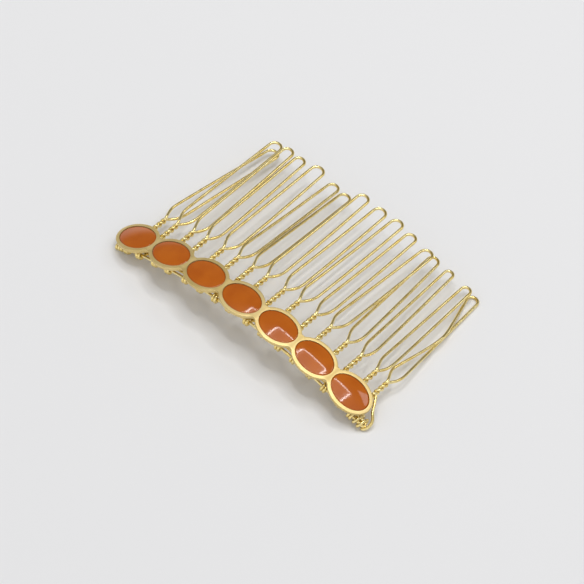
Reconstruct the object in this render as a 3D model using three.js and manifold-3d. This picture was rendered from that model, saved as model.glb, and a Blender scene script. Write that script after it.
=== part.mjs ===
// An arched decorative hair comb: wire hairpin teeth hooked on a wire spine, with a strip of
// seven enamelled ovals along it. Millimetres, +Z up. +X runs along the bar, +Y towards the
// tooth tips. The comb stands on its two bar ends and one tooth tip, on the plane Z = 0.
import * as THREE from "three";
import { mergeVertices } from "three/addons/utils/BufferGeometryUtils.js";
import Module from "manifold-3d";

const wasm = await Module();
wasm.setup();

// Arch and strip of ovals
const ARCH_RADIUS = 86.6; // the faces of the ovals lie on this cylinder, whose axis runs along Y
const OVAL_COUNT = 7;
const OVAL_PITCH = 9.5; // along the arch, centre to centre
const OVAL_HALF_LENGTH = 5.05;
const OVAL_HALF_WIDTH = 3.83;
const RIM_WIDTH = 0.72;
const STRIP_THICKNESS = 0.5;
const POCKET_DEPTH = 0.35;
const NOTCH_FILLET = 0.9; // radius that fills the notch between two ovals
const WEB_HALF_LENGTH = 1.2;
const OUTLINE_SIDES = 40;
const POCKET_SIDES = 32;
const FILLET_SIDES = 20;
const SEARCH_STEPS = 800; // for the place where a fillet touches two ovals
const HALVINGS = 14;
const FLATNESS = 0.002; // faces that are flat to within this are merged
const BACK_THICKNESS = 0.25;
const BACK_INSET = 0.12; // the backing is cut a little smaller than the strip
const SEAM = 0.1; // clearance between pieces that are soldered or set on each other

// Enamel
const ENAMEL_EDGE_DEPTH = 0.1; // the enamel's edge lies this far below the rim
const ENAMEL_CROWN = 0.38; // how far its middle stands above its edge
const ENAMEL_SIDES = 26;

// Wire
const WIRE_RADIUS = 0.3;
const WIRE_SIDES = 5;
const SPINE_RADIUS = 0.3;

// Spine: a long hairpin of wire under the front half of the ovals
const SPINE_Y = -1.7;
const SPINE_DEPTH = 2.0; // below the ovals' faces
const SPINE_HALF_GAP = 0.5; // from the middle of the hairpin to the axis of either strand
const SPINE_LEFT = -33; // both ends are measured along the arch
const SPINE_RIGHT = 34.5;
const SPINE_STEPS = 22;
const SPINE_BEND_STEPS = 6;

// Teeth
const TOOTH_COUNT = 16;
const TOOTH_PITCH = 4.19; // along the arch, at the ovals' faces
const STEM_OFFSET = 1.38; // the teeth are set this far to the right of the ovals
const TIP_OFFSET = 0.75;
const STEM_DEPTH = 2.15;
const TIP_DEPTH = 4.25;
const SPLIT_Y = 8.65; // where the twisted pair opens into two legs
const TIP_Y = 37.7;
const LAY = 2.4; // length of one turn of the twist
const TWIST_TURNS = 3;
const STEPS_PER_TURN = 5;
const STRAND_OFFSET = 0.36; // from the stem's axis to the axis of a strand
const KNEE_HALF_WIDTH = 1.67;
const TIP_HALF_WIDTH = 1.32;
// Each knee, as [share of the knee's half width, distance past the split].
const LEFT_KNEE = [[0.4, 0.9], [0.74, 1.9], [0.96, 3.1]];
const RIGHT_KNEE = [[0.55, 0.7], [0.84, 1.6], [0.99, 2.9]];
const LEG_STEPS = 3;
const BEND_STEPS = 6;
const HOOK_STEPS = 4;
const HOOK_SWEEP = 200; // degrees round the front strand of the spine
// How wear has bent each tooth, from left to right: the stem's shift, the tip's sway to the
// right, the tip's droop and the spread of each leg. A slight bow grows from left to right.
const STEM_SHIFT = [0.2, -0.4, 0, -0.4, 0.18, 0.02, -0.1, -0.5, 0, -0.2, 0.1, -0.1, 0.2, -0.1, -0.1, -1.15];
const TIP_SWAY = [2.2, -0.1, -0.9, -2.0, -0.8, -1.0, -1.95, -0.7, -0.1, 0.4, 0.1, 0.7, -1.6, -1.4, -0.5, -2.25];
const TIP_DROOP = [1.3, -1.4, -1.2, -0.1, -0.2, 2.4, 3.4, -0.1, 0.4, 0.1, 1.1, 1.75, 2.2, 2.1, 2.0, 2.9];
const SPREAD = [0, 0, -0.13, -0.15, 0.1, -0.1, -0.07, -0.05, 0.05, 0, -0.1, 0, -0.1, -0.35, -0.3, -0.15];
const BOW_RIGHT = 0.6;
// The last tooth is pinched: its left leg crosses over its right one and back. Each point is
// [share of the legs' length, distance from the tooth's middle, rise].
const PINCH = [[0.3, 0.55, 0.5], [0.44, 1.4, 0.85], [0.54, 1.6, 0.85], [0.64, 1.15, 0.75], [0.8, 0.1, 0.35]];

// Bindings: wire wound round the spine at both ends
const BINDING_STEPS = 12; // in each turn
// Where each winding begins along the arch, and the degrees round the spine, from its back over
// its top, at which it begins; it runs to the left.
const RIGHT_WINDING = { start: 35.05, from: 235, turns: 2.6, pitch: 1.1 };
const LEFT_WINDING = { start: -30.85, from: 45, turns: 2.5, pitch: 0.74 };
// The right binding starts beside the last stem, comes round the strip's end and loops round
// the bend of the spine: each point is a place along the arch, its y and its depth.
const BINDING_LEAD = [
  [32.2, 4.0, 1.3],
  [32.6, 3.4, 1.25],
  [33.1, 2.65, 1.2],
  [33.6, 1.9, 1.2],
  [33.95, 1.2, 1.2],
  [34.6, 0.6, 1.25],
  [35.3, 0.1, 1.4],
  [35.7, -0.7, 1.6],
  [35.75, -1.4, 1.8],
  [35.6, -2.05, 2.1],
  [35.3, -2.4, 2.4],
];

// The plane that the comb stands on, as slopes in its own frame
const REST_PITCH = 3.528; // degrees
const REST_ROLL = 0.958;

const GOLD = { color: 0xd8b068, roughness: 0.3, metalness: 1 };
const SATIN_GOLD = { color: 0xdcbc78, roughness: 0.42, metalness: 1 };
const ENAMEL = { color: 0xb65a1a, roughness: 0.12, metalness: 0 };

// ---- places on the arch ----

const angleOf = (along) => along / ARCH_RADIUS;

// The point at an angle round the arch, a depth below the faces and a distance y.
function archPoint(angle, depth, y) {
  const r = ARCH_RADIUS - depth;
  return new THREE.Vector3(r * Math.sin(angle), y, r * Math.cos(angle) - ARCH_RADIUS);
}

// A point offset sideways and downwards in a frame turned to the given angle.
function offsetPoint(base, turn, side, down) {
  return new THREE.Vector3(
    base.x + side * Math.cos(turn) - down * Math.sin(turn),
    base.y,
    base.z - side * Math.sin(turn) - down * Math.cos(turn),
  );
}

// Stands a flat piece, drawn about its own centre with its face at Z = 0, on the arch.
function ontoArch(geometry, along, lift = 0) {
  const angle = angleOf(along);
  const place = archPoint(angle, -lift, 0);
  return geometry.applyMatrix4(
    new THREE.Matrix4().makeRotationY(angle).setPosition(place),
  );
}

// ---- wire ----

// A path through given points, one step between each two of them.
class WirePath extends THREE.Curve {
  constructor(points) {
    super();
    this.points = points;
  }
  getPoint(t) {
    const spans = this.points.length - 1;
    const i = Math.min(Math.floor(t * spans + 1e-6), spans - 1);
    return new THREE.Vector3().lerpVectors(this.points[i], this.points[i + 1], t * spans - i);
  }
  getTangent(t) {
    const i = Math.round(t * (this.points.length - 1));
    const before = this.direction(Math.max(i - 1, 0));
    const after = this.direction(Math.min(i, this.points.length - 2));
    return before.add(after).normalize();
  }
  getUtoTmapping(u) {
    return u;
  }
  direction(i) {
    return this.points[i + 1].clone().sub(this.points[i]).normalize();
  }
}

function wireAlong(points, radius) {
  const section = new THREE.Shape(
    Array.from({ length: WIRE_SIDES }, (_, i) => {
      const a = (2 * Math.PI * i) / WIRE_SIDES;
      return new THREE.Vector2(radius * Math.cos(a), radius * Math.sin(a));
    }),
  );
  return new THREE.ExtrudeGeometry(section, {
    steps: points.length - 1,
    extrudePath: new WirePath(points),
    bevelEnabled: false,
  });
}

// ---- booleans ----

function solidFrom(geometry) {
  const g = geometry.index ? geometry.toNonIndexed() : geometry.clone();
  g.deleteAttribute("normal");
  g.deleteAttribute("uv");
  const merged = mergeVertices(g, 1e-4);
  return new wasm.Manifold(
    new wasm.Mesh({
      numProp: 3,
      vertProperties: merged.attributes.position.array,
      triVerts: new Uint32Array(merged.index.array),
    }),
  );
}

function geometryFrom(solid) {
  const m = solid.asOriginal().simplify(FLATNESS).getMesh();
  return new THREE.BufferGeometry()
    .setAttribute("position", new THREE.BufferAttribute(new Float32Array(m.vertProperties), 3))
    .setIndex(new THREE.BufferAttribute(new Uint32Array(m.triVerts), 1));
}

// ---- strip of ovals ----

function ellipsePlate(halfLength, halfWidth, sides, bottom, top) {
  const height = top - bottom;
  return new THREE.CylinderGeometry(1, 1, height, sides)
    .rotateX(Math.PI / 2)
    .scale(halfLength, halfWidth, 1)
    .translate(0, 0, bottom + height / 2);
}

// Distance from the middle of a notch to an oval's outline, over a quarter of the outline.
function distanceToOval(y, a, b) {
  const away = (t) => Math.hypot(OVAL_PITCH / 2 - a * Math.cos(t), y - b * Math.sin(t));
  const quarter = Array.from({ length: SEARCH_STEPS }, (_, i) => (Math.PI / 2 / SEARCH_STEPS) * i);
  return Math.min(...quarter.map(away));
}

// Half width of the web that joins two ovals: its fillets touch both of them.
function webHalfWidth(a, b) {
  let near = 0;
  let far = b + NOTCH_FILLET;
  for (let i = 0; i < HALVINGS; i++) {
    const y = (near + far) / 2;
    if (distanceToOval(y, a, b) < NOTCH_FILLET) near = y;
    else far = y;
  }
  return near;
}

function web(a, b, bottom, top) {
  const centre = webHalfWidth(a, b);
  const h = top - bottom;
  let block = solidFrom(
    new THREE.BoxGeometry(2 * WEB_HALF_LENGTH, 2 * centre, h).translate(0, 0, bottom + h / 2),
  );
  for (const side of [-1, 1]) {
    const cutter = new THREE.CylinderGeometry(NOTCH_FILLET, NOTCH_FILLET, 3 * h, FILLET_SIDES)
      .rotateX(Math.PI / 2)
      .translate(0, side * centre, bottom + h / 2);
    block = block.subtract(solidFrom(cutter));
  }
  return geometryFrom(block);
}

// A strip with the outline of all the ovals and the webs between them.
function strip(inset, faceDepth, thickness) {
  const a = OVAL_HALF_LENGTH - inset;
  const b = OVAL_HALF_WIDTH - inset;
  const bottom = -faceDepth - thickness;
  let whole = null;
  for (let k = 0; k < OVAL_COUNT; k++) {
    const along = (k - (OVAL_COUNT - 1) / 2) * OVAL_PITCH;
    const oval = solidFrom(ontoArch(ellipsePlate(a, b, OUTLINE_SIDES, bottom, -faceDepth), along));
    whole = whole ? whole.add(oval) : oval;
    if (k < OVAL_COUNT - 1) {
      // Flat ovals meet a little above the arch, so the web between them stands there too.
      const lift = ARCH_RADIUS / Math.cos(angleOf(OVAL_PITCH / 2)) - ARCH_RADIUS;
      const joint = ontoArch(web(a, b, bottom, -faceDepth), along + OVAL_PITCH / 2, lift);
      whole = whole.add(solidFrom(joint));
    }
  }
  return whole;
}

function bezelStrip() {
  let made = strip(0, 0, STRIP_THICKNESS);
  const a = OVAL_HALF_LENGTH - RIM_WIDTH;
  const b = OVAL_HALF_WIDTH - RIM_WIDTH;
  for (let k = 0; k < OVAL_COUNT; k++) {
    const along = (k - (OVAL_COUNT - 1) / 2) * OVAL_PITCH;
    const pocket = ellipsePlate(a, b, POCKET_SIDES, -POCKET_DEPTH, STRIP_THICKNESS);
    made = made.subtract(solidFrom(ontoArch(pocket, along)));
  }
  return geometryFrom(made);
}

function enamelOval(index) {
  const low = -POCKET_DEPTH + SEAM / 2;
  const edge = -ENAMEL_EDGE_DEPTH;
  const profile = [new THREE.Vector2(0, low), new THREE.Vector2(1, low), new THREE.Vector2(1, edge)];
  for (const share of [0.8, 0.5]) {
    profile.push(new THREE.Vector2(share, edge + ENAMEL_CROWN * (1 - share * share)));
  }
  profile.push(new THREE.Vector2(0, edge + ENAMEL_CROWN));
  const dome = new THREE.LatheGeometry(profile, ENAMEL_SIDES).rotateX(Math.PI / 2).scale(
    OVAL_HALF_LENGTH - RIM_WIDTH - SEAM,
    OVAL_HALF_WIDTH - RIM_WIDTH - SEAM,
    1,
  );
  return ontoArch(dome, (index - (OVAL_COUNT - 1) / 2) * OVAL_PITCH);
}

// ---- teeth ----

// One tooth's own places: how far along, how deep and how turned it is at each y.
function toothFrame(index) {
  const middle = index - (TOOTH_COUNT - 1) / 2;
  const stem = angleOf(middle * TOOTH_PITCH + STEM_OFFSET + STEM_SHIFT[index]);
  const tip = angleOf(middle * TOOTH_PITCH + TIP_OFFSET + TIP_SWAY[index]);
  const bow = (BOW_RIGHT * index) / (TOOTH_COUNT - 1);
  const twistStart = SPLIT_Y - TWIST_TURNS * LAY;
  return (y, side, down) => {
    const t = Math.max(0, (y - SPLIT_Y) / (TIP_Y - SPLIT_Y));
    const angle = stem + (tip - stem) * t;
    const sag = TIP_DEPTH - STEM_DEPTH + TIP_DROOP[index];
    const depth = STEM_DEPTH + sag * t + 4 * bow * t * (1 - t);
    const turn = stem * THREE.MathUtils.clamp((SPLIT_Y - y) / (SPLIT_Y - twistStart), 0, 1);
    return offsetPoint(archPoint(angle, depth, y), turn, side, down);
  };
}

// One half of a tooth: its hook on the spine, its strand of the twist and its leg.
function toothHalf(place, hand, spread, isLast) {
  const over = hand < 0;
  const points = hookPoints(place, hand * STRAND_OFFSET, over);
  const steps = TWIST_TURNS * STEPS_PER_TURN;
  for (let i = 0; i <= steps; i++) {
    const y = SPLIT_Y - TWIST_TURNS * LAY * (1 - i / steps);
    const a = Math.PI / 2 - (2 * Math.PI * (SPLIT_Y - y)) / LAY;
    const side = hand * STRAND_OFFSET * Math.sin(a);
    const down = -hand * STRAND_OFFSET * Math.cos(a);
    points.push(place(y, side, down));
  }
  return [...points, ...legPoints(place, hand, spread, isLast && over)];
}

// A leg, from the split through its knee to the start of the bend at the tip.
function legPoints(place, hand, spread, isPinched) {
  const knee = hand < 0 ? LEFT_KNEE : RIGHT_KNEE;
  const points = knee.map(([share, past]) =>
    place(SPLIT_Y + past, hand * (KNEE_HALF_WIDTH + spread) * share, 0),
  );
  const kneeEnd = SPLIT_Y + knee.at(-1)[1];
  const bendStart = TIP_Y - TIP_HALF_WIDTH - spread;
  const between = isPinched ? [...PINCH] : [];
  for (let i = 1; i < LEG_STEPS && !isPinched; i++) {
    const t = i / LEG_STEPS;
    const width = THREE.MathUtils.lerp(KNEE_HALF_WIDTH, TIP_HALF_WIDTH, t) + spread;
    between.push([t, hand * width, 0]);
  }
  between.push([1, hand * (TIP_HALF_WIDTH + spread), 0]);
  for (const [share, side, rise] of between) {
    points.push(place(THREE.MathUtils.lerp(kneeEnd, bendStart, share), side, -rise));
  }
  return points;
}

// The hook round the spine: one strand goes over it to the front, the other goes under.
function hookPoints(place, side, over) {
  const reach = SPINE_RADIUS + WIRE_RADIUS + SEAM;
  const centreDown = SPINE_DEPTH - STEM_DEPTH;
  const front = SPINE_Y - SPINE_HALF_GAP;
  const way = over ? -1 : 1;
  const points = [];
  for (let i = HOOK_STEPS; i >= 0; i--) {
    const a = (THREE.MathUtils.degToRad(HOOK_SWEEP) * i) / HOOK_STEPS;
    points.push(
      place(front - reach * Math.sin(a), side, centreDown + way * reach * Math.cos(a)),
    );
  }
  points.push(place(SPINE_Y + SPINE_HALF_GAP + 2 * reach, side, centreDown + way * reach));
  return points;
}

function tooth(index) {
  const place = toothFrame(index);
  const isLast = index === TOOTH_COUNT - 1;
  const left = toothHalf(place, -1, SPREAD[index], isLast);
  const right = toothHalf(place, 1, SPREAD[index], isLast);
  const radius = TIP_HALF_WIDTH + SPREAD[index];
  const bend = [];
  for (let i = 1; i < BEND_STEPS; i++) {
    const a = (Math.PI * i) / BEND_STEPS;
    bend.push(place(TIP_Y - radius + radius * Math.sin(a), -radius * Math.cos(a), 0));
  }
  return wireAlong([...left, ...bend, ...right.reverse()], WIRE_RADIUS);
}

// ---- spine and bindings ----

// A hairpin with its bend at the right; its two ends are at the left.
function spineWire() {
  const strand = (side) =>
    Array.from({ length: SPINE_STEPS + 1 }, (_, i) => {
      const along = THREE.MathUtils.lerp(SPINE_LEFT, SPINE_RIGHT, i / SPINE_STEPS);
      return archPoint(angleOf(along), SPINE_DEPTH, SPINE_Y + side * SPINE_HALF_GAP);
    });
  const bend = [];
  for (let i = 1; i < SPINE_BEND_STEPS; i++) {
    const a = Math.PI * (i / SPINE_BEND_STEPS - 0.5);
    const along = SPINE_RIGHT + SPINE_HALF_GAP * Math.cos(a);
    bend.push(archPoint(angleOf(along), SPINE_DEPTH, SPINE_Y + SPINE_HALF_GAP * Math.sin(a)));
  }
  return wireAlong([...strand(-1), ...bend, ...strand(1).reverse()], SPINE_RADIUS);
}

// A winding round both strands of the spine, as a flattened helix.
function winding({ start, from, turns, pitch }) {
  const reach = SPINE_RADIUS + WIRE_RADIUS + 1.5 * SEAM;
  const first = THREE.MathUtils.degToRad(from);
  const steps = Math.round(turns * BINDING_STEPS);
  return Array.from({ length: steps + 1 }, (_, i) => {
    const a = first + (2 * Math.PI * i) / BINDING_STEPS;
    const along = start - (pitch * i) / BINDING_STEPS;
    const y = SPINE_Y + (reach + SPINE_HALF_GAP) * Math.cos(a);
    return archPoint(angleOf(along), SPINE_DEPTH - reach * Math.sin(a), y);
  });
}

function rightBinding() {
  const lead = BINDING_LEAD.map(([along, y, depth]) => archPoint(angleOf(along), depth, y));
  return wireAlong([...lead, ...winding(RIGHT_WINDING)], WIRE_RADIUS);
}

function leftBinding() {
  return wireAlong(winding(LEFT_WINDING), WIRE_RADIUS);
}

// ---- the comb ----

const comb = new THREE.Group();
const settled = new THREE.Group();
settled.add(comb);

function addPiece(name, geometry, finish) {
  const mesh = new THREE.Mesh(geometry, new THREE.MeshStandardMaterial(finish));
  mesh.name = name;
  comb.add(mesh);
}

addPiece("bezel_strip", bezelStrip(), SATIN_GOLD);
addPiece(
  "backing_strip",
  geometryFrom(strip(BACK_INSET, STRIP_THICKNESS + SEAM, BACK_THICKNESS)),
  SATIN_GOLD,
);
for (let i = 0; i < OVAL_COUNT; i++) addPiece(`enamel_oval_${i + 1}`, enamelOval(i), ENAMEL);
for (let i = 0; i < TOOTH_COUNT; i++) {
  addPiece(`tooth_${String(i + 1).padStart(2, "0")}`, tooth(i), GOLD);
}
addPiece("spine_wire", spineWire(), GOLD);
addPiece("binding_right", rightBinding(), GOLD);
addPiece("binding_left", leftBinding(), GOLD);

// Tip the comb onto its resting plane, then centre it over the origin at that plane.
comb.rotation.set(THREE.MathUtils.degToRad(REST_PITCH), THREE.MathUtils.degToRad(-REST_ROLL), 0);
settled.updateMatrixWorld(true);
const extent = new THREE.Box3().setFromObject(settled, true);
const middle = extent.getCenter(new THREE.Vector3());
comb.position.set(-middle.x, -middle.y, -extent.min.z);

export default settled;
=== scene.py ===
"""Looks of an arched decorative hair comb: gilt wire teeth and spine, a satin gold strip and
seven glossy enamel ovals. Lengths are in millimetres until a mesh is made."""

import math
from itertools import pairwise

import bmesh
import bpy
import numpy as np
from bpy.props import FloatProperty, FloatVectorProperty, IntProperty, PointerProperty
from mathutils import Matrix, Vector


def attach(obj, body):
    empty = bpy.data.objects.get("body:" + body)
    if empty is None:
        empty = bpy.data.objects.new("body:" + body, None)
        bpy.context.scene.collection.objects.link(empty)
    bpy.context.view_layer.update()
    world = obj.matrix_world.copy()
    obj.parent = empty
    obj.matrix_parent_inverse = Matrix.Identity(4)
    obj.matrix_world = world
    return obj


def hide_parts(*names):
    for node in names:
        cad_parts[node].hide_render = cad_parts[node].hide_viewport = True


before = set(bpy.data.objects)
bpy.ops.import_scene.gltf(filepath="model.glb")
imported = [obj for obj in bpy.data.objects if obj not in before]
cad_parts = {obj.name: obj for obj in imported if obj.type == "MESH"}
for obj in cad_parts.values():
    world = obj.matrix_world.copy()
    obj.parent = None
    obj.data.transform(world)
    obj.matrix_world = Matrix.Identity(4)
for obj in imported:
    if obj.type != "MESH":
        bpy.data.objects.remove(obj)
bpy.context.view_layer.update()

bl_info = {
    "name": "Wire hair comb",
    "version": (1, 0, 0),
    "blender": (4, 5, 0),
    "location": "View3D > Sidebar > Hair comb",
    "description": "Builds a wire hair comb with enamelled ovals round its packed frame",
    "category": "Object",
}

MM = 0.001
BODY = "root"

# Arch and strip of ovals
ARCH_RADIUS = 86.6
OVAL_COUNT = 7
OVAL_PITCH = 9.5
OVAL_HALF_LENGTH = 5.05
OVAL_HALF_WIDTH = 3.83
STRIP_THICKNESS = 0.5
POCKET_DEPTH = 0.35
NOTCH_FILLET = 0.9
BACK_THICKNESS = 0.25
BACK_INSET = 0.12
SEAM = 0.1
HALF_STEP = OVAL_PITCH / ARCH_RADIUS / 2  # angle from an oval's middle to the next notch
EDGE_STEPS = 5  # rings of points round each burnished edge
OUTLINE_STEPS = 32  # along a free quarter of an oval
JOINED_STEPS = 24  # along the part of a quarter that a notch leaves
FILLET_STEPS = 10
SEAM_STEPS = 6  # across half of the joint between two ovals
SEARCH_STEPS = 4000  # for the place where a fillet touches an oval
HALVINGS = 30
MERGE = 2e-6  # points closer than this, in metres, are joined
STRIP_CREASE = math.radians(40)  # edges that turn more than this stay sharp
EDGE_BURNISH = 1.0  # how far polishing has smoothed each part of the strip
LIP_BURNISH = 0.6
WALL_BURNISH = 0.3
# Enamel
ENAMEL_EDGE_DEPTH = 0.1
ENAMEL_CROWN = 0.38
ENAMEL_RISE = 0.37  # the poured dome, just inside the frame's
ENAMEL_GAP = 0.035  # to the wall of its pocket
ENAMEL_ROLL = 0.14  # radius of the enamel's rounded edge
ENAMEL_LIFT = 0.01  # above the floor of its pocket
ENAMEL_TURNS = 120
ROLL_STEPS = 6
DOME_STEPS = 25
ENAMEL_CREASE = math.radians(50)
# Spine
SPINE_RADIUS = 0.3
SPINE_Y = -1.7
SPINE_DEPTH = 2.0
SPINE_HALF_GAP = 0.5
SPINE_LEFT = -33.0
SPINE_RIGHT = 34.5
SPINE_STEPS = 89
SPINE_BEND_STEPS = 16
# Teeth. The lists hold how each tooth, from left to right, has been bent by wear.
TOOTH_COUNT = 16
TOOTH_PITCH = 4.19
STEM_OFFSET = 1.38
TIP_OFFSET = 0.75
STEM_DEPTH = 2.15
TIP_DEPTH = 4.25
SPLIT_Y = 8.65
TIP_Y = 37.67
LAY = 2.4
TWIST_TURNS = 3
KNEE_HALF_WIDTH = 1.67
TIP_HALF_WIDTH = 1.32
# Knees: share of the knee's half width and distance past the split.
LEFT_KNEE = [[0.4, 0.9], [0.74, 1.9], [0.96, 3.1]]
RIGHT_KNEE = [[0.55, 0.7], [0.84, 1.6], [0.99, 2.9]]
HOOK_SWEEP = 200
HOOK_STEPS = 12
HOOK_REACH = 0.695  # from the spine's axis to a strand that hooks it
BEND_STEPS = 20  # round a tooth's tip
PATH_STEP = 0.3  # between the points of a bent stretch of wire
KNEE_PASSES = 9  # each pass rounds the corners of a bent stretch more
HOOK_PASSES = 3
STEM_SHIFT = [0.2, -0.4, 0, -0.4, 0.18, 0.02, -0.1, -0.5, 0, -0.2, 0.1, -0.1, 0.2, -0.1, -0.1,
              -1.15]
TIP_SWAY = [2.2, -0.1, -0.9, -2.0, -0.8, -1.0, -1.95, -0.7, -0.1, 0.4, 0.1, 0.7, -1.6, -1.4, -0.5,
            -2.25]
TIP_DROOP = [1.3, -1.4, -1.2, -0.1, -0.2, 2.4, 3.4, -0.1, 0.4, 0.1, 1.1, 1.75, 2.2, 2.1, 2.0, 2.85]
SPREAD = [0, 0, -0.13, -0.15, 0.1, -0.1, -0.07, -0.05, 0.05, 0, -0.1, 0, -0.1, -0.35, -0.3,
          -0.15]
BOW_RIGHT = 0.6
# The last tooth's left leg: share of the legs' length, side and rise.
PINCH = [[0.3, 0.55, 0.5], [0.44, 1.4, 0.85], [0.54, 1.6, 0.85], [0.64, 1.15, 0.75],
         [0.8, 0.1, 0.35]]
# Bindings
RIGHT_WINDING = {"start": 35.05, "from_angle": 235, "turns": 2.6, "pitch": 1.1}
LEFT_WINDING = {"start": -30.85, "from_angle": 45, "turns": 2.5, "pitch": 0.74}
WINDING_STEPS = 32  # in each turn
LEAD_STEP = 0.25
LEAD_PASSES = 5
# The right binding's way round the end of the strip: places along the arch, y and depth.
BINDING_LEAD = [[32.2, 4.0, 1.3], [32.6, 3.4, 1.25], [33.1, 2.65, 1.2], [33.6, 1.9, 1.2],
                [33.95, 1.2, 1.2], [34.6, 0.6, 1.25], [35.3, 0.1, 1.4], [35.7, -0.7, 1.6],
                [35.75, -1.4, 1.8], [35.6, -2.05, 2.1], [35.3, -2.4, 2.4]]
# How the comb lies on the table
REST_PITCH = math.radians(3.528)
REST_ROLL = math.radians(0.958)
SETTLE = Matrix.Rotation(REST_PITCH, 3, "X") @ Matrix.Rotation(-REST_ROLL, 3, "Y")
# Camera, measured from the middle oval's face in the comb's own axes
CAMERA_AZIMUTH = math.radians(42.75)
CAMERA_ELEVATION = math.radians(51.28)
CAMERA_DISTANCE = 753.0
CAMERA_ASIDE = 9.55
CAMERA_RAISE = 1.18
LENS = 242.75
SENSOR = 36
CLIP = (0.01, 20)  # in metres
# Patterns on the finishes: the size of one feature
TARNISH_BANDS = 3.03
DIE_LINES = 0.0833  # really about 0.01, too fine to show, so they are drawn coarser
SATIN_CLOUDS = 3.85
BLAST_PITS = 0.0625  # as left by fine glass beads
PIGMENT_CLOUDS = 4.17
POUR_RIPPLE = 2.0
# Inputs and output of a Mix node for colours, whose names are shared by its other types
MIX_FACTOR, MIX_A, MIX_B, MIX_COLOUR = 0, 6, 7, 2
# Stage, in metres
PAPER_HALF = 2.0
PAPER_Z = -0.00002
SOFTBOX_HEIGHT = 1.0
SOFTBOX_CENTRE = (-0.015, 0.155)
SOFTBOX_SIZE = (0.46, 0.42)
SOFTBOX_EDGE = 0.045
SOFTBOX_WATTS = 0.45
SOFTBOX_EDGE_WATTS = 4.4
WINDOW_PLACE = (0.52, 0.78, 1.0)
WINDOW_SIZE = (0.42, 0.36)
WINDOW_WATTS = 1.3
FRONT = (0.35, -0.62, 0.70)  # direction of the room's bright side


def linear(code):
    """An sRGB hex colour as linear red, green, blue."""
    parts = [int(code[i:i + 2], 16) / 255 for i in (0, 2, 4)]
    return [c / 12.92 if c <= 0.04045 else ((c + 0.055) / 1.055) ** 2.4 for c in parts]


def colour_property(name, description, code):
    """A colour that a user may change, its default given as an sRGB hex colour."""
    return FloatVectorProperty(name=name, description=description, subtype="COLOR", size=3,
                               min=0, max=1, default=linear(code))


class CombSettings(bpy.types.PropertyGroup):
    """Sizes of the wire of the teeth and bindings."""
    wire_radius: FloatProperty(
        name="Wire radius", description="Radius of the wire of the teeth and bindings",
        default=0.296 * MM, subtype="DISTANCE", unit="LENGTH")
    strand_offset: FloatProperty(
        name="Strand offset", description="From a stem's axis to the axis of either strand",
        default=0.315 * MM, subtype="DISTANCE", unit="LENGTH")
    wire_sides: IntProperty(
        name="Wire sides", description="Faces round each wire", default=14, min=6)
    twist_steps: IntProperty(
        name="Steps in a turn", description="Points along one turn of a twisted stem",
        default=20, min=8)


class StripSettings(bpy.types.PropertyGroup):
    """Sizes of the strip of ovals."""
    rim_width: FloatProperty(
        name="Rim width", description="Width of the satin rim round each oval",
        default=0.72 * MM, subtype="DISTANCE", unit="LENGTH")
    edge_round: FloatProperty(
        name="Edge rounding", description="Radius of the burnished edges of the rim",
        default=0.11 * MM, subtype="DISTANCE", unit="LENGTH")


class FinishSettings(bpy.types.PropertyGroup):
    """Colours of the finishes."""
    gold: colour_property("Gold plate", "Colour of the bright plated wire", "f6e4a6")
    tarnish: colour_property("Tarnish", "Colour of the tarnished bands of the wire", "ecd284")
    satin: colour_property("Satin gold", "Colour of the satin plated strip", "dec688")
    satin_worn: colour_property("Worn satin", "Colour of the strip's worn patches", "d0b672")
    enamel: colour_property("Enamel", "Colour of the enamel ovals", "b05604")
    enamel_cloud: colour_property("Enamel clouds", "Colour of the pigment's clouds", "ba600a")


# ---- places on the arch, as in the frame ----

def angle_of(along):
    """The angle on the arch of a length measured along the ovals' faces."""
    return along / ARCH_RADIUS


def arch_point(angle, depth, y):
    """The point at an angle on the arch, this deep below the ovals' faces."""
    r = ARCH_RADIUS - depth
    return Vector((r * math.sin(angle), y, r * math.cos(angle) - ARCH_RADIUS))


def offset_point(base, turn, side, down):
    """A point moved sideways and down in axes that are turned about Y."""
    return base + Vector((side * math.cos(turn) - down * math.sin(turn), 0,
                          -side * math.sin(turn) - down * math.cos(turn)))


def on_oval(x, y, z, index):
    """The point at x, y, z in the plane of an oval, placed on the arch."""
    angle = angle_of((index - (OVAL_COUNT - 1) / 2) * OVAL_PITCH)
    r = ARCH_RADIUS + z
    return Vector((r * math.sin(angle) + x * math.cos(angle), y,
                   r * math.cos(angle) - x * math.sin(angle) - ARCH_RADIUS))


def comb_origin():
    """Where the middle oval's face centre lies, from the frame's own middle oval."""
    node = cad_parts[f"enamel_oval_{(OVAL_COUNT + 1) // 2}"]
    points = np.empty(3 * len(node.data.vertices))
    node.data.vertices.foreach_get("co", points)
    own = points.reshape(-1, 3) @ np.array(SETTLE) / MM
    middle = (own.min(0) + own.max(0)) / 2
    face = own[:, 2].max() - ENAMEL_CROWN + ENAMEL_EDGE_DEPTH
    return SETTLE @ Vector((middle[0], middle[1], face))


ORIGIN = comb_origin()


def settled(points):
    """Comb points in millimetres as points of the frame in metres."""
    return [(ORIGIN + SETTLE @ Vector(p)) * MM for p in points]


# ---- small helpers ----

def add_node(tree, kind, links=(), **settings):
    """Adds a node. A setting names a property or an input, and a link is (input, socket)."""
    node = tree.nodes.new(kind)
    for name, value in settings.items():
        if hasattr(node, name):
            setattr(node, name, value)
        else:
            node.inputs[name.replace("_", " ")].default_value = value
    for name, source in links:
        tree.links.new(source, node.inputs[name])
    return node


def rounded(points, spacing, passes):
    """A polyline divided evenly, its corners rounded by repeated averaging."""
    out = []
    for a, b in pairwise(points):
        count = max(1, round((b - a).length / spacing))
        out += [a.lerp(b, k / count) for k in range(count)]
    out.append(points[-1])
    for _ in range(passes):
        out[1:-1] = [(a + 2 * b + c) / 4 for a, b, c in zip(out, out[1:], out[2:])]
    return out


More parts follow.
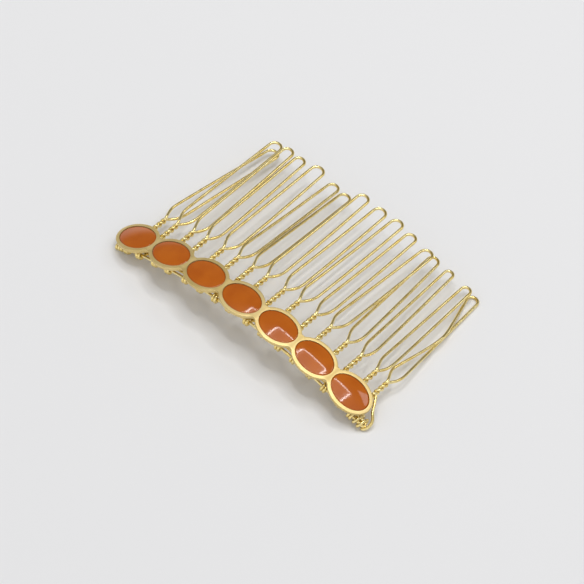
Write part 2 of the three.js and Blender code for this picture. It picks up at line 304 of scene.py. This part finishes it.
def new_object(name, mesh):
    """An object at the origin, in the scene."""
    piece = bpy.data.objects.new(name, mesh)
    bpy.context.scene.collection.objects.link(piece)
    return piece


def declare(piece, node):
    """Ties a piece to its body and hides the imported part of its node."""
    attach(piece, BODY)
    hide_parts(node)


# ---- wire: a section swept along a path by Geometry Nodes ----

def wire_tree():
    """The node tree that sweeps a round wire along a path of edges."""
    tree = bpy.data.node_groups.get("wire_along_path")
    if tree:
        return tree
    tree = bpy.data.node_groups.new("wire_along_path", "GeometryNodeTree")
    face = tree.interface
    face.new_socket("Path", in_out="INPUT", socket_type="NodeSocketGeometry")
    radius = face.new_socket("Wire radius", in_out="INPUT", socket_type="NodeSocketFloat")
    radius.subtype = "DISTANCE"
    face.new_socket("Sides", in_out="INPUT", socket_type="NodeSocketInt")
    face.new_socket("Finish", in_out="INPUT", socket_type="NodeSocketMaterial")
    face.new_socket("Wire", in_out="OUTPUT", socket_type="NodeSocketGeometry")
    given = add_node(tree, "NodeGroupInput").outputs
    path = add_node(tree, "GeometryNodeMeshToCurve", [("Mesh", given["Path"])])
    length = add_node(tree, "GeometryNodeSplineParameter")
    marked = add_node(
        tree, "GeometryNodeStoreNamedAttribute",
        [("Geometry", path.outputs["Curve"]), ("Value", length.outputs["Length"])],
        data_type="FLOAT", domain="POINT", Name="along")
    section = add_node(
        tree, "GeometryNodeCurvePrimitiveCircle",
        [("Resolution", given["Sides"]), ("Radius", given["Wire radius"])])
    swept = add_node(
        tree, "GeometryNodeCurveToMesh",
        [("Curve", marked.outputs["Geometry"]), ("Profile Curve", section.outputs["Curve"])])
    swept.inputs["Fill Caps"].default_value = True
    smooth = add_node(tree, "GeometryNodeSetShadeSmooth", [("Geometry", swept.outputs["Mesh"])])
    real = add_node(tree, "GeometryNodeRealizeInstances",
                    [("Geometry", smooth.outputs["Geometry"])])
    done = add_node(tree, "GeometryNodeSetMaterial",
                    [("Geometry", real.outputs["Geometry"]), ("Material", given["Finish"])])
    add_node(tree, "NodeGroupOutput", [("Wire", done.outputs["Geometry"])])
    return tree


def wire_piece(name, points, radius, sides):
    """A wire along comb points, as a plain mesh that stands for the node of its name."""
    path = bpy.data.meshes.new(name + "_path")
    path.from_pydata(settled(points), [(i, i + 1) for i in range(len(points) - 1)], [])
    piece = new_object(name + "_look", path)
    tree = wire_tree()
    sweep = piece.modifiers.new("wire", "NODES")
    sweep.node_group = tree
    sockets = {s.name: s.identifier for s in tree.interface.items_tree if s.in_out == "INPUT"}
    sweep[sockets["Wire radius"]] = radius
    sweep[sockets["Sides"]] = sides
    sweep[sockets["Finish"]] = finish_of(bright_gold_wire)
    bpy.context.view_layer.update()
    view = bpy.context.evaluated_depsgraph_get()
    made = bpy.data.meshes.new_from_object(piece.evaluated_get(view), depsgraph=view)
    if not made.polygons:
        raise RuntimeError(f"{name} got no wire")
    piece.modifiers.remove(sweep)
    piece.data = made
    made.name = piece.name
    bpy.data.meshes.remove(path)
    declare(piece, name)
    return piece


# ---- teeth ----

def tooth_frame(index):
    """A tooth's own places: how far along, how deep and how turned it is at each y."""
    middle = index - (TOOTH_COUNT - 1) / 2
    stem = angle_of(middle * TOOTH_PITCH + STEM_OFFSET + STEM_SHIFT[index])
    tip = angle_of(middle * TOOTH_PITCH + TIP_OFFSET + TIP_SWAY[index])
    bow = BOW_RIGHT * index / (TOOTH_COUNT - 1)
    sag = TIP_DEPTH - STEM_DEPTH + TIP_DROOP[index]

    def place(y, side, down):
        t = max(0, (y - SPLIT_Y) / (TIP_Y - SPLIT_Y))
        depth = STEM_DEPTH + sag * t + 4 * bow * t * (1 - t)
        turn = stem * min(max((SPLIT_Y - y) / (TWIST_TURNS * LAY), 0), 1)
        return offset_point(arch_point(stem + (tip - stem) * t, depth, y), turn, side, down)

    return place


def hook_points(place, side, over):
    """The hook round the spine: one strand goes over it to the front, the other under."""
    down = SPINE_DEPTH - STEM_DEPTH
    way = -1 if over else 1
    front = SPINE_Y - SPINE_HALF_GAP
    points = []
    for i in range(HOOK_STEPS, -1, -1):
        a = math.radians(HOOK_SWEEP) * i / HOOK_STEPS
        points.append(place(front - HOOK_REACH * math.sin(a), side,
                            down + way * HOOK_REACH * math.cos(a)))
    points.append(place(SPINE_Y + SPINE_HALF_GAP + HOOK_REACH, side, down + way * HOOK_REACH))
    return points


def tooth_half(place, hand, spread, is_last, offset, steps_in_turn):
    """One strand of a tooth: its hook, its turns in the twisted stem and its leg."""
    over = hand < 0
    hook = hook_points(place, hand * offset, over)
    steps = TWIST_TURNS * steps_in_turn
    twist = []
    for i in range(steps + 1):
        y = SPLIT_Y - TWIST_TURNS * LAY * (1 - i / steps)
        a = math.pi / 2 - 2 * math.pi * (SPLIT_Y - y) / LAY
        twist.append(place(y, hand * offset * math.sin(a), -hand * offset * math.cos(a)))
    leg = leg_points(place, hand, spread, is_last and over)
    knee = rounded([*twist[-3:], *leg], PATH_STEP, KNEE_PASSES)
    start = rounded([hook[-2], hook[-1], *twist[1:4]], PATH_STEP, HOOK_PASSES)
    return [*hook[:-2], *start, *twist[4:-3], *knee]


def leg_points(place, hand, spread, is_pinched):
    """The corners of a leg, from its knee to the start of the bend at the tip."""
    knee = LEFT_KNEE if hand < 0 else RIGHT_KNEE
    points = [place(SPLIT_Y + past, hand * (KNEE_HALF_WIDTH + spread) * share, 0)
              for share, past in knee]
    knee_end = SPLIT_Y + knee[-1][1]
    bend_start = TIP_Y - TIP_HALF_WIDTH - spread
    between = list(PINCH) if is_pinched else [
        [t, hand * (KNEE_HALF_WIDTH + (TIP_HALF_WIDTH - KNEE_HALF_WIDTH) * t + spread), 0]
        for t in (1 / 3, 2 / 3)]
    between.append([1, hand * (TIP_HALF_WIDTH + spread), 0])
    for share, side, rise in between:
        points.append(place(knee_end + (bend_start - knee_end) * share, side, -rise))
    return points


def tooth_path(index, offset, steps_in_turn):
    """The whole path of a tooth's wire, from the left strand's hook to the right one's."""
    place = tooth_frame(index)
    spread = SPREAD[index]
    is_last = index == TOOTH_COUNT - 1
    left, right = (tooth_half(place, hand, spread, is_last, offset, steps_in_turn)
                   for hand in (-1, 1))
    radius = TIP_HALF_WIDTH + spread
    bend = [place(TIP_Y - radius + radius * math.sin(a), -radius * math.cos(a), 0)
            for a in np.linspace(0, math.pi, BEND_STEPS + 1)[1:-1]]
    return [*left, *bend, *reversed(right)]


# ---- spine and bindings ----

def spine_path():
    """A long hairpin: the front strand, the bend at the right end and the back strand."""
    def strand(side):
        return [arch_point(angle_of(along), SPINE_DEPTH, SPINE_Y + side * SPINE_HALF_GAP)
                for along in np.linspace(SPINE_LEFT, SPINE_RIGHT, SPINE_STEPS + 1)]

    bend = []
    for a in np.linspace(-math.pi / 2, math.pi / 2, SPINE_BEND_STEPS + 1)[1:-1]:
        along = SPINE_RIGHT + SPINE_HALF_GAP * math.cos(a)
        y = SPINE_Y + SPINE_HALF_GAP * math.sin(a)
        bend.append(arch_point(angle_of(along), SPINE_DEPTH, y))
    return [*strand(-1), *bend, *reversed(strand(1))]


def winding(start, from_angle, turns, pitch):
    """Turns of wire round both strands of the spine, which run to the left."""
    points = []
    for i in range(round(turns * WINDING_STEPS) + 1):
        a = math.radians(from_angle) + 2 * math.pi * i / WINDING_STEPS
        along = start - pitch * i / WINDING_STEPS
        y = SPINE_Y + (HOOK_REACH + SPINE_HALF_GAP) * math.cos(a)
        points.append(arch_point(angle_of(along), SPINE_DEPTH - HOOK_REACH * math.sin(a), y))
    return points


def right_binding_path():
    """The lead from the last stem round the strip's end, then the windings."""
    turns = winding(**RIGHT_WINDING)
    lead = [arch_point(angle_of(along), depth, y) for along, y, depth in BINDING_LEAD]
    return [*rounded([*lead, turns[0]], LEAD_STEP, LEAD_PASSES)[:-1], *turns]


# ---- strip of ovals ----

def nearest_on_oval(y, a, b):
    """Distance from the middle of a notch to an oval's outline, and where it is nearest."""
    t = np.linspace(0, math.pi / 2, SEARCH_STEPS)
    away = np.hypot(OVAL_PITCH / 2 - a * np.cos(t), y - b * np.sin(t))
    return away.min(), t[away.argmin()]


def notch(a, b):
    """Height of the fillet's centre in a notch, and the place where it touches an oval."""
    near, far = 0.0, b + NOTCH_FILLET
    for _ in range(HALVINGS):
        y = (near + far) / 2
        if nearest_on_oval(y, a, b)[0] < NOTCH_FILLET:
            near = y
        else:
            far = y
    return near, nearest_on_oval(near, a, b)[1]


def oval_arc(a, b, start, steps):
    """Points of an oval from an angle to its short axis, each free of any seam."""
    return [(a * math.cos(t), b * math.sin(t), "free")
            for t in np.linspace(start, math.pi / 2, steps + 1)]


def outline_quarter(a, b, is_joined):
    """Points of a quarter outline, from the long axis to the short one: x, y and whether the
    point is free, on the seam between two ovals, or the corner where the seam ends."""
    if not is_joined:
        return oval_arc(a, b, 0, OUTLINE_STEPS)
    centre_y, touch = notch(a, b)
    middle = OVAL_PITCH / 2
    corner = centre_y - NOTCH_FILLET
    points = [(middle, y, "seam") for y in np.linspace(0, corner, SEAM_STEPS + 1)[:-1]]
    end = math.atan2(b * math.sin(touch) - centre_y, a * math.cos(touch) - middle)
    if end > 0:
        end -= 2 * math.pi
    for g in np.linspace(-math.pi / 2, end, FILLET_STEPS + 1):
        points.append((middle + NOTCH_FILLET * math.cos(g),
                       centre_y + NOTCH_FILLET * math.sin(g), "free"))
    points[SEAM_STEPS] = (middle, corner, "corner")
    return points + oval_arc(a, b, touch, JOINED_STEPS)[1:]


def outline(a, b, is_joined_left, is_joined_right):
    """The whole outline of an oval, anticlockwise, as outline_quarter gives its points."""
    right = outline_quarter(a, b, is_joined_right)
    left = outline_quarter(a, b, is_joined_left)
    return [*right[:-1],
            *[(-x, y, kind) for x, y, kind in reversed(left)][:-1],
            *[(-x, -y, kind) for x, y, kind in left][:-1],
            *[(x, -y, kind) for x, y, kind in reversed(right)][:-1]]


def inward(points):
    """Unit vectors that point into a closed outline."""
    flat = np.array([p[:2] for p in points])
    along = np.roll(flat, -1, 0) - np.roll(flat, 1, 0)
    along /= np.linalg.norm(along, axis=1)[:, None]
    return np.stack([-along[:, 1], along[:, 0]], 1)


def rounded_edge(radius):
    """Steps round an edge, from the face to the wall: how far in, how far down, how bright."""
    steps = []
    for a in np.linspace(0, math.pi / 2, EDGE_STEPS):
        drop = radius * (1 - math.cos(a))
        burnish = EDGE_BURNISH if drop > 0 else LIP_BURNISH
        steps.append((radius * (1 - math.sin(a)), drop, burnish))
    return steps


def pocket_rings(index, rim, pocket, edge_round):
    """Rings of a pocket: its floor's edge, then the rounded lip up to the face."""
    turns = [math.atan2(y / pocket[1], x / pocket[0]) for x, y, _ in rim]
    steps = [(0, -POCKET_DEPTH, 0)]
    steps += [(edge_round - inset, -drop, burnish)
              for inset, drop, burnish in reversed(rounded_edge(edge_round))]
    rings = []
    for grow, z, burnish in steps:
        a, b = pocket[0] + grow, pocket[1] + grow
        rings.append([(on_oval(a * math.cos(t), b * math.sin(t), z, index), burnish)
                      for t in turns])
    return rings


def edge_rings(index, rim, top, bottom, edge_round):
    """Rings of an oval's outer edge: the rounded edge, then the foot of the wall. A seam
    keeps the height of the face, and its points lie on the plane between two ovals."""
    into = inward(rim)
    steps = [(inset, top - drop, top, burnish)
             for inset, drop, burnish in rounded_edge(edge_round)]
    steps.append((0, bottom, bottom, WALL_BURNISH))
    rings = []
    for inset, z, seam_z, burnish in steps:
        ring = []
        for (x, y, kind), (nx, ny) in zip(rim, into):
            at_z = seam_z if kind == "seam" else z
            if kind != "free":
                x = math.copysign((ARCH_RADIUS + at_z) * math.tan(HALF_STEP), x)
            else:
                x += inset * nx
            if kind != "seam":
                y += inset * ny
            ring.append((on_oval(x, y, at_z, index), 0 if kind == "seam" else burnish))
        rings.append(ring)
    return rings


def band_quads(first, count, band):
    """The faces between one ring of points and the next, from a first point's number."""
    low, high = first + band * count, first + (band + 1) * count
    return [(low + i, low + (i + 1) % count, high + (i + 1) % count, high + i)
            for i in range(count)]


def strip_faces(first, rim, ring_count, face_end):
    """Faces of one oval of a strip, left open where it joins the next one."""
    count = len(rim)
    hub = first + ring_count * count
    last = hub - count
    faces = []
    for i in range(count):
        faces.append((hub, first + i, first + (i + 1) % count))
        faces.append((hub + 1, last + (i + 1) % count, last + i))
    for band in range(ring_count - 1):
        for i, quad in enumerate(band_quads(first, count, band)):
            is_joint = "free" not in (rim[i][2], rim[(i + 1) % count][2])
            if not (is_joint and band >= face_end):
                faces.append(quad)
    return faces


def strip_mesh(name, inset, top, bottom, edge_round, pocket=None):
    """A closed strip of joined ovals along the arch, with or without pockets."""
    a, b = OVAL_HALF_LENGTH - inset, OVAL_HALF_WIDTH - inset
    points, faces = [], []
    for index in range(OVAL_COUNT):
        rim = outline(a, b, index > 0, index < OVAL_COUNT - 1)
        inner = pocket_rings(index, rim, pocket, edge_round) if pocket else []
        rings = inner + edge_rings(index, rim, top, bottom, edge_round)
        faces += strip_faces(len(points), rim, len(rings), len(inner))
        for ring in rings:
            points += ring
        floor = -POCKET_DEPTH if pocket else top
        points += [(on_oval(0, 0, z, index), 0) for z in (floor, bottom)]
    mesh = bpy.data.meshes.new(name)
    mesh.from_pydata(settled([p for p, _ in points]), [], faces)
    mark = mesh.attributes.new("burnish", "FLOAT", "POINT")
    mark.data.foreach_set("value", [burnish for _, burnish in points])
    merge_points(mesh)
    mesh.shade_smooth()
    mesh.set_sharp_from_angle(angle=STRIP_CREASE)
    return mesh


def merge_points(mesh):
    """Joins points that coincide and turns all faces outwards."""
    edit = bmesh.new()
    edit.from_mesh(mesh)
    bmesh.ops.remove_doubles(edit, verts=edit.verts, dist=MERGE)
    bmesh.ops.dissolve_degenerate(edit, edges=edit.edges, dist=MERGE / 20)
    bmesh.ops.recalc_face_normals(edit, faces=edit.faces)
    edit.to_mesh(mesh)
    edit.free()


# ---- enamel ----

def dome_height(share):
    """Height of the dome above its edge, at a share of the way out from its middle."""
    return ENAMEL_RISE * (1 - share * share)


def enamel_profile(b):
    """Steps up the enamel's wall and over its rounded edge: how far in and how high."""
    low = -POCKET_DEPTH + ENAMEL_LIFT
    wall_top = -ENAMEL_EDGE_DEPTH - ENAMEL_ROLL
    profile = [(0.0, low), (0.0, wall_top)]
    for g in np.linspace(0, math.pi / 2, ROLL_STEPS + 1)[1:]:
        profile.append((ENAMEL_ROLL * (1 - math.cos(g)), wall_top + ENAMEL_ROLL * math.sin(g)))
    inset, z = profile[-1]
    profile[-1] = (inset, z + dome_height(1 - inset / b))
    return profile


def enamel_mesh(name, index, rim_width):
    """A domed pool of enamel: a short wall, a rounded edge, then a low crown."""
    a = OVAL_HALF_LENGTH - rim_width - ENAMEL_GAP
    b = OVAL_HALF_WIDTH - rim_width - ENAMEL_GAP
    steps = [(a - inset, b - inset, z) for inset, z in enamel_profile(b)]
    for share in np.linspace(1 - ENAMEL_ROLL / b, 0, DOME_STEPS + 1)[1:-1]:
        steps.append((a * share, b * share, -ENAMEL_EDGE_DEPTH + dome_height(share)))
    turns = np.linspace(0, 2 * math.pi, ENAMEL_TURNS, endpoint=False)
    verts, faces = [], []
    for long, short, z in steps:
        verts += [on_oval(long * math.cos(t), short * math.sin(t), z, index) for t in turns]
    for band in range(len(steps) - 1):
        faces += band_quads(0, ENAMEL_TURNS, band)
    top, under = len(verts), len(verts) + 1
    verts += [on_oval(0, 0, z, index)
              for z in (-ENAMEL_EDGE_DEPTH + ENAMEL_RISE, -POCKET_DEPTH + ENAMEL_LIFT)]
    last = (len(steps) - 1) * ENAMEL_TURNS
    for i in range(ENAMEL_TURNS):
        j = (i + 1) % ENAMEL_TURNS
        faces += [(last + i, last + j, top), (j, i, under)]
    mesh = bpy.data.meshes.new(name)
    mesh.from_pydata(settled(verts), [], faces)
    mesh.shade_smooth()
    mesh.set_sharp_from_angle(angle=ENAMEL_CREASE)
    return mesh


# ---- finishes ----

def new_material(name):
    """An empty material with a Principled shader."""
    material = bpy.data.materials.new(name)
    material.use_nodes = True
    tree = material.node_tree
    tree.nodes.clear()
    shader = add_node(tree, "ShaderNodeBsdfPrincipled")
    add_node(tree, "ShaderNodeOutputMaterial", [("Surface", shader.outputs["BSDF"])])
    return material, tree, shader


def scale_of(size):
    """The texture scale that makes features of a size in millimetres."""
    return 1 / (size * MM)


def bright_gold_wire(colours):
    """Gold-plated brass wire, drawn through a die: bright, warm and mirror-like along the
    wire, with faint bands of tarnish and die lines that soften the highlights."""
    material, tree, shader = new_material("bright_gold_wire")
    place = add_node(tree, "ShaderNodeTexCoord").outputs["Object"]
    along = add_node(tree, "ShaderNodeAttribute", attribute_name="along")
    bands = add_node(tree, "ShaderNodeTexNoise", [("W", along.outputs["Fac"])],
                     noise_dimensions="1D", Scale=scale_of(TARNISH_BANDS), Detail=3)
    worn = add_node(tree, "ShaderNodeMapRange", [("Value", bands.outputs["Fac"])],
                    From_Min=0.38, From_Max=0.66)
    colour = add_node(tree, "ShaderNodeMix", [(MIX_FACTOR, worn.outputs["Result"])],
                      data_type="RGBA")
    colour.inputs[MIX_A].default_value = (*colours.gold, 1)
    colour.inputs[MIX_B].default_value = (*colours.tarnish, 1)
    tree.links.new(colour.outputs[MIX_COLOUR], shader.inputs["Base Color"])
    shader.inputs["Metallic"].default_value = 1
    lines = add_node(tree, "ShaderNodeTexNoise", [("Vector", place)],
                     Scale=scale_of(DIE_LINES), Detail=2)
    rough = add_node(tree, "ShaderNodeMapRange", [("Value", lines.outputs["Fac"])],
                     From_Min=0.3, From_Max=0.7, To_Min=0.16, To_Max=0.2)
    tree.links.new(rough.outputs["Result"], shader.inputs["Roughness"])
    bump = add_node(tree, "ShaderNodeBump", [("Height", lines.outputs["Fac"])],
                    Strength=0.02, Distance=0.002 * MM)
    tree.links.new(bump.outputs["Normal"], shader.inputs["Normal"])
    return material


def satin_gold_strip(colours):
    """Gold-plated brass strip, bead blasted under clear lacquer: a pale satin face that
    scatters half of its light, with edges burnished bright."""
    material, tree, shader = new_material("satin_gold_strip")
    place = add_node(tree, "ShaderNodeTexCoord").outputs["Object"]
    burnish = add_node(tree, "ShaderNodeAttribute", attribute_name="burnish").outputs["Fac"]
    clouds = add_node(tree, "ShaderNodeTexNoise", [("Vector", place)],
                      Scale=scale_of(SATIN_CLOUDS), Detail=3)
    worn = add_node(tree, "ShaderNodeMapRange", [("Value", clouds.outputs["Fac"])],
                    From_Min=0.35, From_Max=0.7)
    colour = add_node(tree, "ShaderNodeMix", [(MIX_FACTOR, worn.outputs["Result"])],
                      data_type="RGBA")
    colour.inputs[MIX_A].default_value = (*colours.satin, 1)
    colour.inputs[MIX_B].default_value = (*colours.satin_worn, 1)
    tree.links.new(colour.outputs[MIX_COLOUR], shader.inputs["Base Color"])
    shader.inputs["Metallic"].default_value = 0.5  # the pitted lacquer scatters the rest
    rough = add_node(tree, "ShaderNodeMapRange", [("Value", burnish)], To_Min=0.58, To_Max=0.2)
    tree.links.new(rough.outputs["Result"], shader.inputs["Roughness"])
    pits = add_node(tree, "ShaderNodeTexNoise", [("Vector", place)],
                    Scale=scale_of(BLAST_PITS), Detail=1)
    depth = add_node(tree, "ShaderNodeMapRange", [("Value", burnish)], To_Min=0.35, To_Max=0.05)
    bump = add_node(tree, "ShaderNodeBump",
                    [("Height", pits.outputs["Fac"]), ("Strength", depth.outputs["Result"])],
                    Distance=0.004 * MM)
    tree.links.new(bump.outputs["Normal"], shader.inputs["Normal"])
    return material


def orange_enamel(colours):
    """Cold enamel, a pigmented resin poured into the settings: glassy burnt orange, with
    slight clouds of pigment and a faint ripple in its reflections."""
    material, tree, shader = new_material("orange_enamel")
    place = add_node(tree, "ShaderNodeTexCoord").outputs["Object"]
    clouds = add_node(tree, "ShaderNodeTexNoise", [("Vector", place)],
                      Scale=scale_of(PIGMENT_CLOUDS), Detail=2)
    cloudy = add_node(tree, "ShaderNodeMapRange", [("Value", clouds.outputs["Fac"])],
                      From_Min=0.35, From_Max=0.65)
    colour = add_node(tree, "ShaderNodeMix", [(MIX_FACTOR, cloudy.outputs["Result"])],
                      data_type="RGBA")
    colour.inputs[MIX_A].default_value = (*colours.enamel, 1)
    colour.inputs[MIX_B].default_value = (*colours.enamel_cloud, 1)
    tree.links.new(colour.outputs[MIX_COLOUR], shader.inputs["Base Color"])
    shader.inputs["Roughness"].default_value = 0.07
    shader.inputs["IOR"].default_value = 1.52
    ripple = add_node(tree, "ShaderNodeTexNoise", [("Vector", place)],
                      Scale=scale_of(POUR_RIPPLE), Detail=1)
    bump = add_node(tree, "ShaderNodeBump", [("Height", ripple.outputs["Fac"])],
                    Strength=0.3, Distance=0.004 * MM)
    tree.links.new(bump.outputs["Normal"], shader.inputs["Normal"])
    return material


def pale_paper():
    """Matt off-white paper under the comb."""
    material, _, shader = new_material("pale_paper")
    shader.inputs["Base Color"].default_value = (*linear("e8e8e8"), 1)
    shader.inputs["Roughness"].default_value = 0.9
    shader.inputs["Specular IOR Level"].default_value = 0.1
    return material


def finish_of(make):
    """A finish by its function, made once and shared by like pieces."""
    made = bpy.data.materials.get(make.__name__)
    return made or make(bpy.context.scene.comb_finish)


# ---- operators ----

class COMB_OT_strip(bpy.types.Operator):
    """Makes the satin strip of ovals and the backing under it."""
    bl_idname = "comb.strip"
    bl_label = "Strip and backing"

    def execute(self, context):
        settings = context.scene.comb_strip
        rim, edge = settings.rim_width / MM, settings.edge_round / MM
        finish = finish_of(satin_gold_strip)
        if rim + edge >= OVAL_HALF_WIDTH:
            raise ValueError("The rim leaves no room for the pockets")
        pocket = (OVAL_HALF_LENGTH - rim, OVAL_HALF_WIDTH - rim)
        top = -STRIP_THICKNESS - SEAM
        strip = strip_mesh("bezel_strip_look", 0, 0, -STRIP_THICKNESS, edge, pocket)
        backing = strip_mesh("backing_strip_look", BACK_INSET, top, top - BACK_THICKNESS, edge / 2)
        for node, mesh in (("bezel_strip", strip), ("backing_strip", backing)):
            mesh.materials.append(finish)
            declare(new_object(mesh.name, mesh), node)
        return {"FINISHED"}


class COMB_OT_enamel(bpy.types.Operator):
    """Pours the enamel ovals."""
    bl_idname = "comb.enamel"
    bl_label = "Enamel ovals"

    def execute(self, context):
        rim = context.scene.comb_strip.rim_width / MM
        if rim + ENAMEL_GAP + ENAMEL_ROLL >= OVAL_HALF_WIDTH:
            raise ValueError("The rim leaves no room for the enamel")
        finish = finish_of(orange_enamel)
        for index in range(OVAL_COUNT):
            node = f"enamel_oval_{index + 1}"
            mesh = enamel_mesh(node + "_look", index, rim)
            mesh.materials.append(finish)
            declare(new_object(mesh.name, mesh), node)
        return {"FINISHED"}


class COMB_OT_teeth(bpy.types.Operator):
    """Twists and bends the hairpin teeth."""
    bl_idname = "comb.teeth"
    bl_label = "Teeth"

    def execute(self, context):
        settings = context.scene.comb
        for index in range(TOOTH_COUNT):
            path = tooth_path(index, settings.strand_offset / MM, settings.twist_steps)
            wire_piece(f"tooth_{index + 1:02d}", path, settings.wire_radius, settings.wire_sides)
        return {"FINISHED"}


class COMB_OT_spine(bpy.types.Operator):
    """Bends the spine, the long hairpin that carries the teeth."""
    bl_idname = "comb.spine"
    bl_label = "Spine"

    def execute(self, context):
        settings = context.scene.comb
        wire_piece("spine_wire", spine_path(), SPINE_RADIUS * MM, settings.wire_sides)
        return {"FINISHED"}


class COMB_OT_bindings(bpy.types.Operator):
    """Winds the bindings round both ends of the spine."""
    bl_idname = "comb.bindings"
    bl_label = "Bindings"

    def execute(self, context):
        settings = context.scene.comb
        for name, path in (("binding_right", right_binding_path()),
                           ("binding_left", winding(**LEFT_WINDING))):
            wire_piece(name, path, settings.wire_radius, settings.wire_sides)
        return {"FINISHED"}


class COMB_OT_stage(bpy.types.Operator):
    """Sets the paper, the lights and the camera."""
    bl_idname = "comb.stage"
    bl_label = "Stage"

    def execute(self, context):
        paper = bpy.data.meshes.new("paper")
        corners = ((-1, -1), (1, -1), (1, 1), (-1, 1))
        paper.from_pydata([(x * PAPER_HALF, y * PAPER_HALF, PAPER_Z) for x, y in corners], [],
                          [(0, 1, 2, 3)])
        paper.materials.append(pale_paper())
        new_object("paper", paper)
        softbox()
        window()
        room_light(context.scene)
        aim_camera(context.scene)
        context.scene.view_settings.view_transform = "Standard"
        return {"FINISHED"}


def area_light(name, place, size, watts):
    """A rectangular lamp that shines straight down until it is turned."""
    lamp = bpy.data.lights.new(name, "AREA")
    lamp.shape = "RECTANGLE"
    lamp.size, lamp.size_y = size
    lamp.energy = watts
    holder = bpy.data.objects.new(name, lamp)
    holder.location = place
    bpy.context.scene.collection.objects.link(holder)
    return holder


def softbox():
    """A rectangular softbox overhead, its cloth brightest along the edges."""
    x, y = SOFTBOX_CENTRE
    width, depth = SOFTBOX_SIZE
    z = SOFTBOX_HEIGHT
    area_light("softbox", (x, y, z), SOFTBOX_SIZE, SOFTBOX_WATTS)
    for side in (-1, 1):
        area_light("softbox_end", (x + side * width / 2, y, z), (SOFTBOX_EDGE, depth),
                   SOFTBOX_EDGE_WATTS / 4)
        area_light("softbox_side", (x, y + side * depth / 2, z), (width, SOFTBOX_EDGE),
                   SOFTBOX_EDGE_WATTS / 4)


def window():
    """A window behind and to the right, turned to the comb."""
    lamp = area_light("window", WINDOW_PLACE, WINDOW_SIZE, WINDOW_WATTS)
    lamp.rotation_euler = Vector(WINDOW_PLACE).to_track_quat("Z", "Y").to_euler()


def room_light(scene):
    """A soft room: bright in front of the comb and low down, dark behind and above it."""
    world = bpy.data.worlds.new("room")
    world.use_nodes = True
    scene.world = world
    tree = world.node_tree
    tree.nodes.clear()
    place = add_node(tree, "ShaderNodeTexCoord").outputs["Generated"]
    height = add_node(tree, "ShaderNodeSeparateXYZ", [("Vector", place)]).outputs["Z"]
    facing = add_node(tree, "ShaderNodeVectorMath", [(0, place)], operation="DOT_PRODUCT")
    facing.inputs[1].default_value = FRONT
    front = add_node(tree, "ShaderNodeMapRange", [("Value", facing.outputs["Value"])],
                     interpolation_type="SMOOTHSTEP", From_Min=0.2, From_Max=0.85,
                     To_Min=0.24, To_Max=0.8)
    low = add_node(tree, "ShaderNodeMapRange", [("Value", height)],
                   interpolation_type="SMOOTHSTEP", From_Min=0.1, From_Max=0.36,
                   To_Min=0.8, To_Max=0.0)
    level = add_node(tree, "ShaderNodeMath",
                     [(0, front.outputs["Result"]), (1, low.outputs["Result"])],
                     operation="ADD")
    glow = add_node(tree, "ShaderNodeBackground", [("Strength", level.outputs["Value"])],
                    Color=(*linear("f6f6f8"), 1))
    add_node(tree, "ShaderNodeOutputWorld", [("Surface", glow.outputs["Background"])])


def aim_camera(scene):
    """A long lens that looks down at the comb from its front right."""
    az, el = CAMERA_AZIMUTH, CAMERA_ELEVATION
    back = Vector((math.sin(az) * math.cos(el), -math.cos(az) * math.cos(el), math.sin(el)))
    aside = (-back).cross(Vector((0, 0, 1))).normalized()
    raised = aside.cross(-back)
    stand = back * CAMERA_DISTANCE + aside * CAMERA_ASIDE + raised * CAMERA_RAISE
    lens = bpy.data.cameras.new("camera")
    lens.lens = LENS
    lens.sensor_width = SENSOR
    lens.clip_start, lens.clip_end = CLIP
    camera = bpy.data.objects.new("camera", lens)
    turn = SETTLE @ Matrix((aside, raised, back)).transposed()
    camera.matrix_world = Matrix.Translation(settled([stand])[0]) @ turn.to_4x4()
    scene.collection.objects.link(camera)
    scene.camera = camera


class COMB_PT_panel(bpy.types.Panel):
    """Lists the comb's pieces."""
    bl_idname = "COMB_PT_panel"
    bl_label = "Hair comb"
    bl_space_type = "VIEW_3D"
    bl_region_type = "UI"
    bl_category = "Hair comb"

    def draw(self, context):
        layout = self.layout
        scene = context.scene
        for group in (scene.comb, scene.comb_strip, scene.comb_finish):
            for name in group.bl_rna.properties.keys():
                if name not in ("rna_type", "name"):
                    layout.prop(group, name)
        for operator in OPERATORS:
            layout.operator(operator.bl_idname)


OPERATORS = (COMB_OT_strip, COMB_OT_enamel, COMB_OT_teeth, COMB_OT_spine, COMB_OT_bindings,
             COMB_OT_stage)
CLASSES = (CombSettings, StripSettings, FinishSettings, *OPERATORS, COMB_PT_panel)


def register():
    """Adds the classes and their settings to Blender."""
    for cls in CLASSES:
        bpy.utils.register_class(cls)
    bpy.types.Scene.comb = PointerProperty(type=CombSettings)
    bpy.types.Scene.comb_strip = PointerProperty(type=StripSettings)
    bpy.types.Scene.comb_finish = PointerProperty(type=FinishSettings)


def unregister():
    """Takes them away again."""
    del bpy.types.Scene.comb
    del bpy.types.Scene.comb_strip
    del bpy.types.Scene.comb_finish
    for cls in reversed(CLASSES):
        bpy.utils.unregister_class(cls)


def main():
    """Builds the comb and its stage."""
    register()
    bpy.ops.comb.strip()
    bpy.ops.comb.enamel()
    bpy.ops.comb.teeth()
    bpy.ops.comb.spine()
    bpy.ops.comb.bindings()
    bpy.ops.comb.stage()


if __name__ == "__main__":
    main()
